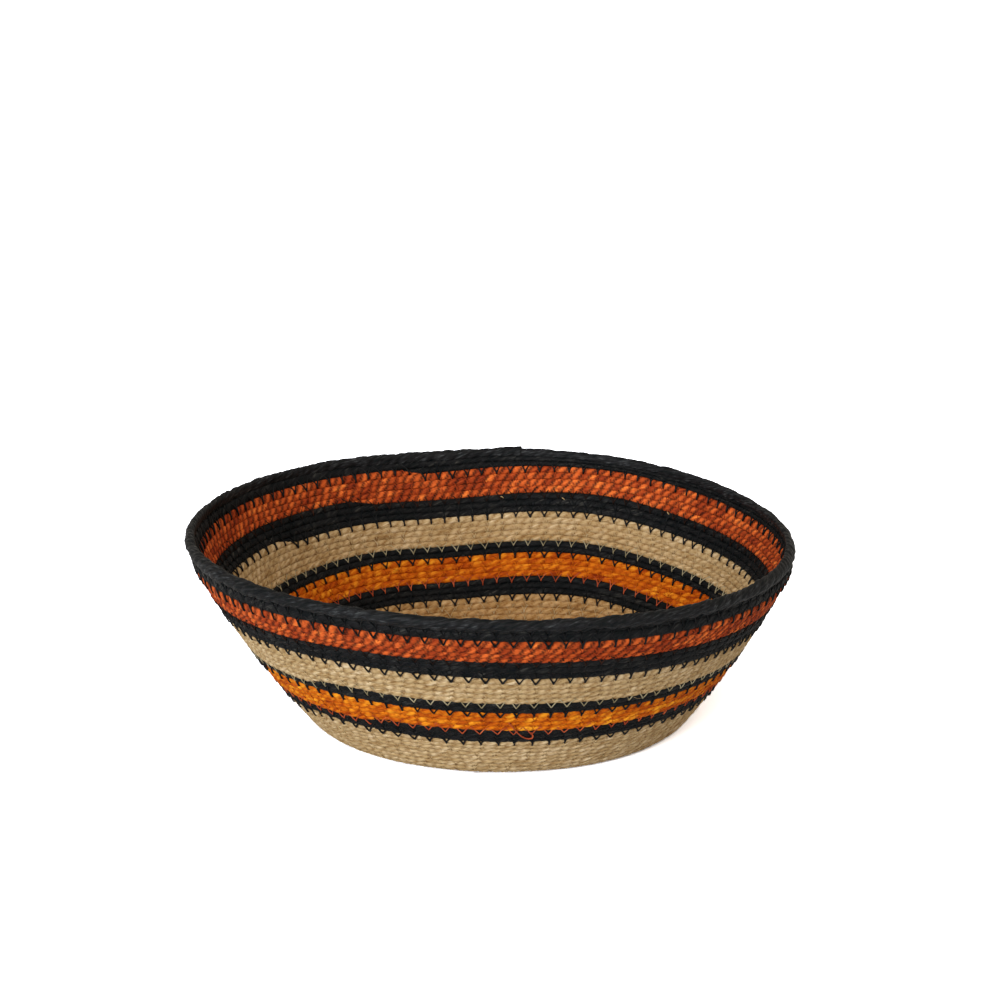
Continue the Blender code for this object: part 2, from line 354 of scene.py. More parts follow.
def fine_drift(distance, angle):
    """The rows' and the rim's finer unevenness, up the wall."""
    turned = np.degrees(angle) % FULL_CIRCLE
    below = (distance - rim_seat) / MM
    around = np.arange(FULL_CIRCLE // DRIFT_STEP + 1) * DRIFT_STEP
    rows = [np.interp(turned, around, drifts + drifts[:1]) for drifts in FINE_DRIFTS]
    rows.append(np.interp(turned, RIM_ANGLES, RIM_DRIFTS, period=FULL_CIRCLE))
    levels = FINE_LEVELS + (0.0,)
    total = 0.0
    for k, row in enumerate(rows):
        share = 0.0 * below
        if k > 0:
            share = np.clip((below - levels[k - 1]) / (levels[k] - levels[k - 1]), 0.0, 1.0)
        if k < len(rows) - 1:
            share = share * np.clip((levels[k + 1] - below) / (levels[k + 1] - levels[k]), 0.0, 1.0)
        total = total + share * row
    return total * MM


def coil_points(distance, angle, depth, fine=True):
    """Points of the bowl round its coil's eye, depth outwards from the middle of the cords."""
    drift = row_drift(distance, angle)
    if fine:
        drift = drift + fine_drift(distance, angle)
    radius, height, slope = section(distance + drift)
    radius = radius + depth * np.sin(slope)
    height = height + half_thickness - depth * np.cos(slope)
    rise = height / rim_height
    lift = RIM_LIFT * np.cos(angle - LEAN_ANGLE) * radius / rim_radius
    warp = RIM_WARP * np.cos(2 * (angle - WARP_ANGLE))
    radius = radius + RIM_OVAL * np.cos(2 * (angle - OVAL_ANGLE)) * rise
    radius = radius - RIM_PINCH * np.cos(angle) ** 2 * turned_in(distance)
    return np.stack((
        radius * np.cos(angle) + RIM_SHIFT * cos(LEAN_ANGLE) * rise,
        radius * np.sin(angle) + RIM_SHIFT * sin(LEAN_ANGLE) * rise,
        height + (lift + warp) * rise,
    ), -1)


def rim_cord_radius(turns):
    """Radius of the thick cord on the rim, thinner where it starts."""
    thin = np.clip((rim_start + RIM_START_TURNS - turns) / RIM_START_TURNS, 0.0, 1.0)
    return (RIM_CORD_DIAMETER + (RIM_START_DIAMETER - RIM_CORD_DIAMETER) * thin) / 2


def eye_place():
    """Where the coil's eye lies in the frame, from the corners of the rim's solid."""
    turns = rim_start + np.arange(STEPS_PER_TURN + 1)[:, None] / STEPS_PER_TURN
    around = full_turn * np.arange(RIM_CORD_SIDES)[None, :] / RIM_CORD_SIDES
    radius = rim_cord_radius(turns)
    distance = rim_seat + SEAT_GAP + radius + radius * np.cos(around)
    points = coil_points(distance, coil_angle(turns), radius * np.sin(around), False)
    low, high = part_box("rim_cord")
    mine = (points.reshape(-1, 3).min(0) + points.reshape(-1, 3).max(0)) / 2
    return (np.array(low) + np.array(high)) / 2 - mine


eye = eye_place()


def bowl_points(distance, angle, depth):
    """The points that coil_points gives, moved to the frame's place."""
    return coil_points(distance, angle, depth) + eye


def smooth_noise(length, wavelength, seed):
    """A function of the distance along a cord that wanders smoothly between -1 and 1."""
    knots = max(LEAST_COUNT, int(length / wavelength) + 3)
    values = np.random.default_rng(seed).uniform(-1.0, 1.0, knots)

    def noise(along):
        place = np.clip(along / wavelength, 0, knots - 2)
        left = np.floor(place).astype(int)
        share = place - left
        share = share * share * (3 - 2 * share)
        return values[left] * (1 - share) + values[left + 1] * share
    return noise


def even_turns(first, last, spacing):
    """Places on the coil about one spacing apart, and their distance along the cord."""
    fine = np.linspace(first, last, int((last - first) * FINE_STEPS_PER_TURN) + 2)
    radius = section((seam_distance(fine) + seam_distance(fine + 1)) / 2)[0]
    steps = full_turn * (radius[1:] + radius[:-1]) / 2 * np.diff(fine)
    along = np.concatenate(((0.0,), np.cumsum(steps)))
    count = max(LEAST_COUNT, round(along[-1] / spacing))
    places = np.linspace(0.0, along[-1], count + 1)
    return np.interp(places, along, fine), places


def stitches_so_far():
    """Stitches from the eye to places on the coil: as many in each turn of a group of turns."""
    turns = np.arange(0, int(rim_first) + 2 * STITCH_GROUP, STITCH_GROUP)
    middle_radius = section(EYE_RADIUS + CORD_PITCH * (turns + STITCH_GROUP / 2))[0]
    per_turn = np.maximum(LEAST_COUNT, np.round(full_turn * middle_radius / STITCH_PITCH))
    totals = np.concatenate(((0.0,), np.cumsum(per_turn * STITCH_GROUP)))
    return np.append(turns, turns[-1] + STITCH_GROUP).astype(float), totals


stitch_turns, stitch_totals = stitches_so_far()
knot_count = 2 * int(stitch_totals[-1]) + SPARE_KNOTS
dice = np.random.default_rng(STITCH_SEED)
knot_shift = dice.uniform(-STITCH_SHIFT, STITCH_SHIFT, knot_count)
knot_reach = dice.uniform(-STITCH_REACH, STITCH_REACH, knot_count)


def stitch_phase(turns):
    """How many stitches lie between the eye and a place on the coil."""
    return np.interp(turns, stitch_turns, stitch_totals)


def nearest_knot(phase, odd):
    """Distance, in stitches, to the nearest top (even) or tip (odd) of the zigzag."""
    knot = 2 * np.round(phase - odd / 2).astype(int) + odd
    knot = np.clip(knot, 0, knot_count - 1)
    return phase - knot / 2 - knot_shift[knot]


def tube_faces(rings, sides, start):
    """Faces of one closed tube, as corner lists: its sides, then its two ends."""
    ring = start + sides * np.arange(rings - 1)[:, None]
    side = np.arange(sides)[None, :]
    beside = (side + 1) % sides
    quads = np.stack((ring + side, ring + beside, ring + sides + beside, ring + sides + side), -1)
    ends = np.arange(sides) + start
    return quads.reshape(-1, 4), (ends[::-1], ends + sides * (rings - 1))


def add_piece(name, tubes, material, replaced=()):
    """One object made of closed tubes, each with its points and its surface facts."""
    corners, sizes, points, lay, shade, deep_shade = [], [], [], [], [], []
    start = 0
    for tube in tubes:
        rings, sides = tube["points"].shape[:2]
        quads, ends = tube_faces(rings, sides, start)
        corners += [quads.ravel(), *ends]
        sizes += [np.full(len(quads), 4), np.array([sides, sides])]
        points.append(tube["points"].reshape(-1, 3))
        lay.append(tube["lay"].reshape(-1, 3))
        shade.append(tube["shade"].reshape(-1, 3))
        deep_shade.append(tube.get("deep_shade", np.zeros((rings, sides))).ravel())
        start += rings * sides
    sizes = np.concatenate(sizes)
    corners = np.concatenate(corners)
    mesh = bpy.data.meshes.new(name)
    mesh.vertices.add(start)
    mesh.vertices.foreach_set("co", np.concatenate(points).ravel())
    mesh.loops.add(len(corners))
    mesh.loops.foreach_set("vertex_index", corners)
    mesh.polygons.add(len(sizes))
    mesh.polygons.foreach_set("loop_start", np.concatenate(((0,), np.cumsum(sizes)[:-1])))
    mesh.update(calc_edges=True)
    for key, values in (("lay", lay), ("shade", shade)):
        attribute = mesh.attributes.new(key, "FLOAT_VECTOR", "POINT")
        attribute.data.foreach_set("vector", np.concatenate(values).ravel())
    attribute = mesh.attributes.new("deep_shade", "FLOAT", "POINT")
    attribute.data.foreach_set("value", np.concatenate(deep_shade))
    mesh.shade_smooth()
    mesh.materials.append(material)
    piece = bpy.data.objects.new(name, mesh)
    bpy.context.scene.collection.objects.link(piece)
    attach(piece, "root")
    if replaced:
        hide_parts(*replaced)


def rounded_ends(along):
    """Scale of a cord's rings that rounds off its two ends."""
    from_end = np.minimum(along, along[-1] - along)
    share = np.clip(from_end / END_ROUNDING, 0.0, 1.0)
    return np.sqrt(END_SIZES[0] + END_SIZES[1] * (1 - (1 - share) ** 2))


def twisted_cord(first, last, spliced, seed):
    """A length of two-ply cord on the coil, drawn in where the stitches pierce it.

    Where it is spliced, at its start and at its end, it tapers and lies on the next one.
    """
    turns, along = even_turns(first, last, RING_SPACING)
    lower, upper = seam_distance(turns), seam_distance(turns + 1)
    starting, ending = (np.clip(1 - to_end / SPLICE_TURNS, 0.0, 1.0) * tapered
                        for to_end, tapered in zip((turns - first, last - turns), spliced))
    lower, upper = (lower + SPLICE_SHARE * starting * (upper - lower),
                    upper - SPLICE_SHARE * ending * (upper - lower))
    width = (upper - lower) / CORD_PITCH
    swell = 1 + SWELL * smooth_noise(along[-1], SWELL_LENGTH, seed)(along)
    lean = WANDER * smooth_noise(along[-1], LEAN_LENGTH, seed + 1)(along)
    lift = WANDER * smooth_noise(along[-1], LIFT_LENGTH, seed + 2)(along)
    twist = full_turn * along / PLY_LAY
    twist += TWIST_WANDER * smooth_noise(along[-1], TWIST_WANDER_LENGTH, seed + 3)(along)
    ends = rounded_ends(along)

    around = -full_turn * np.arange(CORD_SIDES)[None, :] / CORD_SIDES
    ply = twist[:, None] - around
    to_notch = np.arcsin(np.clip(np.abs(np.cos(ply)), 0.0, 1.0))
    notch = np.exp(-(to_notch / NOTCH_WIDTH) ** 2)
    on_face = np.sin(around) ** 2
    square = ((np.abs(np.cos(around)) ** SQUARENESS + np.abs(np.sin(around)) ** SQUARENESS)
              ** (-1 / SQUARENESS))
    size = (square * (1 - NOTCH_DEPTH * notch * on_face)) * (swell * ends)[:, None]
    across = size * np.cos(around) * (ROW_OVERLAP * width * CORD_PITCH / 2)[:, None]
    thickness = (THIN_ROW_DEPTHS[0] + THIN_ROW_DEPTHS[1] * width) * half_thickness
    depth = size * np.sin(around) * thickness[:, None]

    tips = nearest_knot(stitch_phase(turns + 1), 1) * STITCH_PITCH / HOLE_LENGTH
    tops = nearest_knot(stitch_phase(turns), 0) * STITCH_PITCH / HOLE_LENGTH
    row_share = across / CORD_PITCH + 0.5
    near_tip = np.exp(-(tips ** 2)[:, None]
                      - ((row_share - 1 - STITCH_TIP) / HOLE_HEIGHT_SHARE) ** 2)
    near_top = np.exp(-(tops ** 2)[:, None]
                      - ((row_share - STITCH_TOP) / HOLE_HEIGHT_SHARE) ** 2)
    # The holes where the stitches pierce: the cord dents in there, and the same mask paints shade
    # into them
    hole_and_shade = np.clip(near_tip + HOLE_TOP_SHARE * near_top, 0.0, 1.0)
    hole_and_shade = hole_and_shade * (np.abs(np.sin(around)) > HOLE_FACE)
    depth = depth - np.sign(depth) * HOLE_DEPTH * hole_and_shade

    middle = ((lower + upper) / 2 + lean)[:, None]
    points = bowl_points(middle + across, coil_angle(turns)[:, None], depth + lift[:, None])
    points[..., 2] = np.maximum(points[..., 2], FLOOR_PRESS)
    strand = np.broadcast_to(along[:, None] + seed, ply.shape)
    fibre = FIBRE_TWIST * twist[:, None] - around
    lay = np.stack((strand, half_thickness * np.cos(fibre), half_thickness * np.sin(fibre)), -1)
    lump = np.floor(ply / pi + 0.5).astype(int)
    lump_tone = np.random.default_rng(seed + 4).uniform(0.0, 1.0, lump.max() + 1)[lump]
    # Painted shade: the gaps between the plies darken, most on the cord's faces, and so do patches
    # along its edges where the rows meet
    edge = np.clip((np.abs(np.cos(around)) - EDGE_SHADE_START) / EDGE_SHADE_WIDTH, 0.0, 1.0)
    patches = EDGE_SHADE_PATCHES + smooth_noise(along[-1], EDGE_SHADE_PATCH_LENGTH, seed + 5)(along)
    gap_shade = (np.exp(-(to_notch / GAP_SHADE_WIDTH) ** 2) * (GAP_SHADES[0] + GAP_SHADES[1] * on_face)
           + EDGE_SHADE * edge * np.clip(patches, 0.0, 1.0)[:, None])
    shade = np.stack((np.clip(gap_shade, 0.0, 1.0), hole_and_shade, lump_tone), -1)
    # Painted shade deep in the bowl: low on the inside faces the colour turns warmer and darker,
    # standing in for shade and light bounced between the walls
    up_wall = (lower - FLOOR_RADIUS) / (rim_seat - FLOOR_RADIUS)
    deep_shade = np.clip(1 - up_wall / DEEP_SHADE_SHARE, 0.0, 1.0)[:, None] * (np.sin(around) < 0)
    return {"points": points, "lay": lay, "shade": shade, "deep_shade": deep_shade}


def rolled_rim(seed):
    """The thick cord on the rim: three plies of fine strands, in one turn from a thin start."""
    length = full_turn * rim_radius
    count = round(length / RIM_RING_SPACING)
    turns = rim_start + np.linspace(-RIM_END_TURNS, 1 + RIM_END_TURNS, count + 1)
    along = np.linspace(0.0, length, count + 1)
    radius = rim_cord_radius(turns)
    radius = radius * (1 + sum(share * smooth_noise(length, wavelength, seed + extra)(along)
                               for share, wavelength, extra in RIM_LUMPS))
    radius = radius * rounded_ends(along)
    lean = 2 * WANDER * smooth_noise(length, RIM_LEAN_LENGTH, seed + 1)(along)
    twist = full_turn * along / RIM_LAY
    twist += RIM_TWIST_WANDER * smooth_noise(length, RIM_TWIST_WANDER_LENGTH, seed + 2)(along)

    around = -full_turn * np.arange(RIM_SIDES)[None, :] / RIM_SIDES
    ply = twist[:, None] - around
    in_ply = np.abs(np.cos(ply * RIM_PLIES / 2))
    notch = (1 - in_ply) ** 2
    fibre = FIBRE_TWIST * twist[:, None] - around
    strands = np.cos(fibre * RIM_STRANDS + 2 * np.sin(ply * RIM_PLIES))
    pressed = np.clip((-np.cos(around) - RIM_PRESS_START) / RIM_PRESS_WIDTH, 0.0, 1.0)
    size = RIM_SIZE - RIM_NOTCH * notch + RIM_STRAND_DEPTH * strands + RIM_PRESS * pressed
    size = size * radius[:, None]
    middle = (rim_seat + SEAT_GAP - RIM_SINK + rim_cord_radius(turns) + lean)[:, None]
    points = bowl_points(middle + size * np.cos(around), coil_angle(turns)[:, None],
                         size * np.sin(around))
    strand = np.broadcast_to(along[:, None] + seed, ply.shape)
    lay = np.stack((strand, radius[:, None] * np.cos(fibre), radius[:, None] * np.sin(fibre)), -1)
    # Painted shade in the notches between the rim's plies: the notch goes in as the shade's first
    # value
    shade = np.stack((notch, np.zeros_like(notch), 0.5 + 0.5 * strands), -1)
    return {"points": points, "lay": lay, "shade": shade}


def sweep(path, outward, radius, sides, along, seed):
    """A thin round tube along a path, with its sides turned by the outward directions."""
    ahead = np.gradient(path, axis=0)
    ahead /= np.linalg.norm(ahead, axis=1, keepdims=True)
    beside = np.cross(outward, ahead)
    beside /= np.maximum(np.linalg.norm(beside, axis=1, keepdims=True), 1e-9)
    out = np.cross(ahead, beside)
    around = full_turn * (np.arange(sides) + 0.5) / sides
    radius = np.broadcast_to(radius, len(path))[:, None, None]
    points = path[:, None, :] + radius * (np.cos(around)[None, :, None] * beside[:, None, :]
                                          + np.sin(around)[None, :, None] * out[:, None, :])
    radius = radius[..., 0]
    lay = np.stack(np.broadcast_arrays(
        along[:, None] + seed, radius * np.cos(around), radius * np.sin(around)), -1)
    return {"points": points, "lay": lay, "shade": np.zeros_like(lay)}


def path_length(path):
    """The distance along a path, at each of its points."""
    steps = np.linalg.norm(np.diff(path, axis=0), axis=1)
    return np.concatenate(((0.0,), np.cumsum(steps)))


def above_floor(tube):
    """The same tube, with its points raised to the floor where they are below it."""
    tube["points"][..., 2] = np.maximum(tube["points"][..., 2], 0.0)
    return tube


def zigzag(first, last, inside, thread_radius, sunk, arm_curve, seed):
    """The thread on one face of the wall that sews a length of cord to the rows below."""
    begin = int(np.ceil(2 * float(stitch_phase(first))))
    end = int(np.floor(2 * float(stitch_phase(last))))
    knots = np.arange(begin, end)
    shares = np.array(STITCH_SHARES)
    shape = (len(knots), len(shares))
    tip = knots % 2 == 1
    tip_row = STITCH_TIP - INNER_REACH * inside
    row = np.where(tip, tip_row, STITCH_TOP) + knot_reach[knots]
    next_row = np.where(tip, STITCH_TOP, tip_row) + knot_reach[knots + 1]
    phase = knots / 2 + knot_shift[knots]
    next_phase = (knots + 1) / 2 + knot_shift[knots + 1]
    stitches = len(knots) / 2
    closed = smooth_noise(stitches, CLOSED_STITCHES, seed + 1)(np.arange(len(knots)) / 2)
    curve = (STRAIGHT_ARM + arm_curve * np.clip(closed + CLOSED_SHIFT, 0.0, 1.0))[:, None]
    crosswise = np.where(tip[:, None], shares ** curve, 1 - (1 - shares) ** curve)
    phase = (phase[:, None] * (1 - crosswise) + next_phase[:, None] * crosswise).ravel()
    rows = (row[:, None] * (1 - shares) + next_row[:, None] * shares).ravel()
    share = np.broadcast_to(shares, shape).ravel()
    turns = np.interp(phase, stitch_totals, stitch_turns)
    dive = np.clip(1 - np.minimum(share, 1 - share) / DIVE_SHARE, 0.0, 1.0) ** DIVE_CURVE
    crown = np.abs(np.sin(pi * rows)) ** CROWN_CURVE
    own_row = np.clip(rows / OWN_ROW_SHARE, 0.0, 1.0)
    depth = (half_thickness * (CROWN_DEPTHS[0] + CROWN_DEPTHS[1] * crown)
             + THREAD_STAND * thread_radius - DIVE * dive
             - np.maximum(sunk, OWN_ROW_DEPTH * own_row))
    face = -1.0 if inside else 1.0
    distance = np.maximum(seam_distance(turns) + rows * CORD_PITCH, EYE_CLEARANCE)
    angle = coil_angle(turns)
    path = bowl_points(distance, angle, face * depth)
    outward = bowl_points(distance, angle, face * (depth + MM)) - path
    along = path_length(path)
    swell = THREAD_SWELL * smooth_noise(along[-1], THREAD_SWELL_LENGTH, seed)(along)
    return above_floor(sweep(path, outward, thread_radius * (1 + swell), THREAD_SIDES, along, seed))


def loose_thread(angle, below, offsets, thread_radius, inside, seed):
    """A loose bit of thread on the wall: offsets in millimetres along the rows and up them.

    It starts at an angle in degrees and at a distance below the rim cord's seat, and its
    third numbers are its heights off the surface.
    """
    offsets = np.array(offsets, float) * MM
    fine = np.linspace(0, len(offsets) - 1, LOOSE_STEPS * len(offsets))
    along_row, up, off = (np.interp(fine, np.arange(len(offsets)), column) for column in offsets.T)
    for _ in range(LOOSE_SMOOTHINGS):
        for column in (along_row, up, off):
            column[1:-1] = (column[:-2] + 2 * column[1:-1] + column[2:]) / 4
    face = -1.0 if inside else 1.0
    distance = rim_seat - below * MM + up
    turned = radians(angle) + along_row / section(distance)[0]
    path = bowl_points(distance, turned, face * (half_thickness + off))
    outward = bowl_points(distance, turned, face * (half_thickness + off + MM)) - path
    return above_floor(sweep(path, outward, thread_radius, THREAD_SIDES, path_length(path), seed))


def first_bit(seed):
    """The start of the floor's cord, which lies straight across the coil's eye."""
    along = np.linspace(0.0, FIRST_BIT_LENGTH * EYE_RADIUS, FIRST_BIT_RINGS)
    distance = along - FIRST_BIT_BACK * EYE_RADIUS
    path = bowl_points(distance, FIRST_BIT_ANGLE, 0.0 * distance)
    outward = bowl_points(distance, FIRST_BIT_ANGLE, 0.0 * distance + MM) - path
    tube = sweep(path, outward, FIRST_BIT_SIZE * half_thickness, CORD_SIDES, along, seed)
    # The bit across the eye gets the full painted shade of the bowl's depths
    tube["deep_shade"] = np.ones(tube["points"].shape[:2])
    return tube


def stray_fibres(count, low, high, seed):
    """Fine fibres that stand off the rows between two distances below the rim cord's seat."""
    chance = np.random.default_rng(seed)
    tubes = []
    for k in range(count):
        reach = chance.uniform(*STRAY_REACHES)
        slope = chance.uniform(*STRAY_SLOPES)
        lift = chance.uniform(*STRAY_LIFTS)
        offsets = ((0, 0, STRAY_ENDS[0]), (0.35 * reach, 0.3 * slope * reach, lift),
                   (0.7 * reach, 0.75 * slope * reach, 0.8 * lift),
                   (reach, slope * reach, STRAY_ENDS[1]))
        angle = chance.uniform(0, FULL_CIRCLE)
        below = chance.uniform(low, high)
        radius = chance.uniform(*STRAY_RADII) * MM
        tubes.append(loose_thread(angle, below, offsets, radius, k % 2 == 1, seed + k))
    return tubes


def node(tree, kind, **settings):
    """A shader node with its settings: inputs by name, the rest as properties."""
    made = tree.nodes.new(kind)
    for key, value in settings.items():
        if key in made.inputs:
            made.inputs[key].default_value = value
        else:
            setattr(made, key, value)
    return made


def mapped_noise(tree, source, scale, detail, roughness=0.55):
    """A noise read in a cord's own coordinates: along it, and across its plies."""
    link = tree.links.new
    mapping = node(tree, "ShaderNodeMapping")
    mapping.inputs["Scale"].default_value = scale
    link(source, mapping.inputs["Vector"])
    noise = node(tree, "ShaderNodeTexNoise", Scale=1.0, Detail=detail, Roughness=roughness)
    link(mapping.outputs["Vector"], noise.inputs["Vector"])
    return noise.outputs["Fac"]


def blend_values(tree, parts):
    """A weighted sum of values."""
    total = None
    for value, weight in parts:
        scaled = node(tree, "ShaderNodeMath", operation="MULTIPLY_ADD")
        tree.links.new(value, scaled.inputs[0])
        scaled.inputs[1].default_value = weight
        if total is None:
            scaled.inputs[2].default_value = 0.0
        else:
            tree.links.new(total, scaled.inputs[2])
        total = scaled.outputs[0]
    return total


def tinted(tree, colour, amount, tint):
    """A colour multiplied by a tint where the amount is high."""
    mix = node(tree, "ShaderNodeMix", data_type="RGBA", blend_type="MULTIPLY")
    tree.links.new(amount, mix.inputs["Factor"])
    tree.links.new(colour, mix.inputs[MIX_FIRST])
    mix.inputs[MIX_SECOND].default_value = tint
    return mix.outputs[MIX_RESULT]


def seagrass(name, tones, weights, patch=(105, 420, 420), rough=(0.55, 0.85), contrast=1.5,
             groove_shade=(0.56, 0.43, 0.31, 1), hole_and_shade=(0.30, 0.18, 0.10, 1), bump=0.6, gloss=0.06,
             streak=75, gap_shade_strength=1.0, deep_shade_tint=(1, 1, 1, 1)):
    """Dry twisted fibre: tones picked by patches, streaks and slow changes along the cord, with
    painted shade in the gaps between plies, at the stitch holes and deep in the bowl.
    """
    material = bpy.data.materials.new(name)
    material.use_nodes = True
    tree = material.node_tree
    link = tree.links.new
    shader = tree.nodes["Principled BSDF"]
    lay = node(tree, "ShaderNodeAttribute", attribute_name="lay").outputs["Vector"]
    facts = node(tree, "ShaderNodeSeparateXYZ")
    shade = node(tree, "ShaderNodeAttribute", attribute_name="shade").outputs["Vector"]
    link(shade, facts.inputs["Vector"])

    patches = mapped_noise(tree, lay, patch, 1.5)
    streaks = mapped_noise(tree, lay, (streak, STREAK_ACROSS, STREAK_ACROSS), 3.0, 0.65)
    slow = mapped_noise(tree, lay, SLOW_CHANGES, 2.0)
    tone = blend_values(tree, ((patches, weights[0]), (streaks, weights[1]), (slow, weights[2]),
                               (facts.outputs["Z"], weights[3])))
    spread = node(tree, "ShaderNodeMath", operation="MULTIPLY_ADD")
    link(tone, spread.inputs[0])
    spread.inputs[1].default_value = contrast
    spread.inputs[2].default_value = 0.5 - 0.5 * contrast
    tone = spread.outputs[0]
    ramp = node(tree, "ShaderNodeValToRGB")
    while len(ramp.color_ramp.elements) < len(tones):
        ramp.color_ramp.elements.new(0.5)
    for stop, (place, colour) in zip(ramp.color_ramp.elements, tones):
        stop.position = place
        stop.color = (*colour, 1.0)
    link(tone, ramp.inputs["Fac"])
    # Painted shade in the gaps between the plies and along the cord's edges
    gap_shade = node(tree, "ShaderNodeMath", operation="MULTIPLY", use_clamp=True)
    link(facts.outputs["X"], gap_shade.inputs[0])
    gap_shade.inputs[1].default_value = gap_shade_strength
    colour = tinted(tree, ramp.outputs["Color"], gap_shade.outputs[0], groove_shade)
    # Painted shade at the stitch holes
    colour = tinted(tree, colour, facts.outputs["Y"], hole_and_shade)
    # Painted shade: deep in the bowl the colour takes a warmer, darker tint
    deep_shade = node(tree, "ShaderNodeAttribute", attribute_name="deep_shade").outputs["Fac"]
    colour = tinted(tree, colour, deep_shade, deep_shade_tint)
    link(colour, shader.inputs["Base Color"])

    roughness = node(tree, "ShaderNodeMapRange")
    link(streaks, roughness.inputs["Value"])
    roughness.inputs["From Min"].default_value = STREAK_RANGE[0]
    roughness.inputs["From Max"].default_value = STREAK_RANGE[1]
    roughness.inputs["To Min"].default_value = rough[1]
    roughness.inputs["To Max"].default_value = rough[0]
    link(roughness.outputs["Result"], shader.inputs["Roughness"])

    height = blend_values(tree, ((streaks, 1.0), (patches, PATCH_RELIEF)))
    relief = node(tree, "ShaderNodeBump", Strength=bump, Distance=RELIEF_DEPTH)
    link(height, relief.inputs["Height"])
    link(relief.outputs["Normal"], shader.inputs["Normal"])
    shader.inputs["Specular IOR Level"].default_value = gloss
    return material


NATURAL_TONES = (
    (0.26, (0.20, 0.110, 0.040)),
    (0.42, (0.39, 0.265, 0.125)),
    (0.54, (0.49, 0.36, 0.200)),
    (0.70, (0.66, 0.53, 0.35)),
)
ORANGE_TONES = (
    (0.26, (0.21, 0.024, 0.002)),
    (0.40, (0.48, 0.092, 0.003)),
    (0.53, (0.63, 0.172, 0.006)),
    (0.70, (0.88, 0.37, 0.020)),
)
RUST_TONES = (
    (0.26, (0.120, 0.016, 0.008)),
    (0.38, (0.315, 0.041, 0.009)),
    (0.50, (0.475, 0.078, 0.015)),
    (0.62, (0.65, 0.120, 0.024)),
    (0.74, (0.90, 0.24, 0.040)),
)
# The blacks' lightest stops are partly the fibres' own lighter strands and partly painted sheen,
# standing in for highlights on the fibres
BLACK_TONES_AND_SHEEN = (
    (0.28, (0.0008, 0.0016, 0.0040)),
    (0.40, (0.0020, 0.0040, 0.0040)),
    (0.50, (0.0056, 0.0050, 0.0066)),
    (0.62, (0.0095, 0.0105, 0.0110)),
    (0.82, (0.050, 0.047, 0.042)),
)
# The rim's black is a little lighter than the rows', partly as painted sheen where light catches
# its top
RIM_TONES_AND_SHEEN = (
    (0.28, (0.0012, 0.0022, 0.0050)),
    (0.40, (0.0034, 0.0056, 0.0054)),
    (0.50, (0.0078, 0.0068, 0.0084)),
    (0.62, (0.0135, 0.0150, 0.0170)),
    (0.82, (0.062, 0.066, 0.070)),
)
NATURAL_THREAD = (
    (0.26, (0.100, 0.070, 0.038)),
    (0.42, (0.19, 0.155, 0.090)),
    (0.54, (0.27, 0.230, 0.140)),
    (0.70, (0.42, 0.37, 0.25)),
)
ORANGE_THREAD = (
    (0.26, (0.100, 0.018, 0.008)),
    (0.42, (0.270, 0.045, 0.018)),
    (0.54, (0.400, 0.075, 0.030)),
    (0.70, (0.62, 0.16, 0.06)),
)
RUST_THREAD = (
    (0.26, (0.003, 0.002, 0.002)),
    (0.42, (0.008, 0.005, 0.004)),
    (0.54, (0.018, 0.008, 0.006)),
    (0.70, (0.055, 0.018, 0.010)),
)

# A cool darkening that paints shade into the grooves and stitch holes of the black cords
DARK_GROOVE_SHADE = (0.75, 0.75, 0.8, 1)
finishes = {
    "natural": seagrass("natural seagrass", NATURAL_TONES, (0.28, 0.46, 0.2, 0.06),
                        deep_shade_tint=(0.97, 0.74, 0.50, 1)),
    "orange": seagrass("orange seagrass", ORANGE_TONES, (0.34, 0.3, 0.22, 0.14),
                       groove_shade=(0.55, 0.36, 0.4, 1), hole_and_shade=(0.35, 0.16, 0.10, 1),
                       deep_shade_tint=(0.94, 0.72, 1, 1)),
    "rust": seagrass("rust seagrass", RUST_TONES, (0.26, 0.36, 0.10, 0.28), patch=(170, 560, 560),
                     contrast=1.05, gap_shade_strength=1.7, groove_shade=(0.20, 0.24, 0.40, 1),
                     hole_and_shade=(0.3, 0.2, 0.2, 1)),
    "black": seagrass("black seagrass", BLACK_TONES_AND_SHEEN, (0.35, 0.45, 0.15, 0.05), rough=(0.42, 0.7),
                      groove_shade=DARK_GROOVE_SHADE, hole_and_shade=DARK_GROOVE_SHADE, contrast=2.0, gloss=0.09,
                      streak=150),
    "rim": seagrass("rim seagrass", RIM_TONES_AND_SHEEN, (0.3, 0.5, 0.2, 0.0), rough=(0.38, 0.62),
                    groove_shade=DARK_GROOVE_SHADE, hole_and_shade=DARK_GROOVE_SHADE, contrast=2.1, gloss=0.1,
                    patch=(150, 700, 700), streak=170),
}
threads = {
    "natural": seagrass("natural thread", NATURAL_THREAD, (0.3, 0.5, 0.28, 0.0), bump=0.3),
    "orange": seagrass("orange thread", ORANGE_THREAD, (0.3, 0.5, 0.2, 0.0), bump=0.3),
    "rust": seagrass("rust thread", RUST_THREAD, (0.4, 0.4, 0.2, 0.0), bump=0.3),
    "black": seagrass("black thread", BLACK_TONES_AND_SHEEN, (0.3, 0.45, 0.2, 0.0), rough=(0.42, 0.7),
                      gloss=0.12, bump=0.3),
}

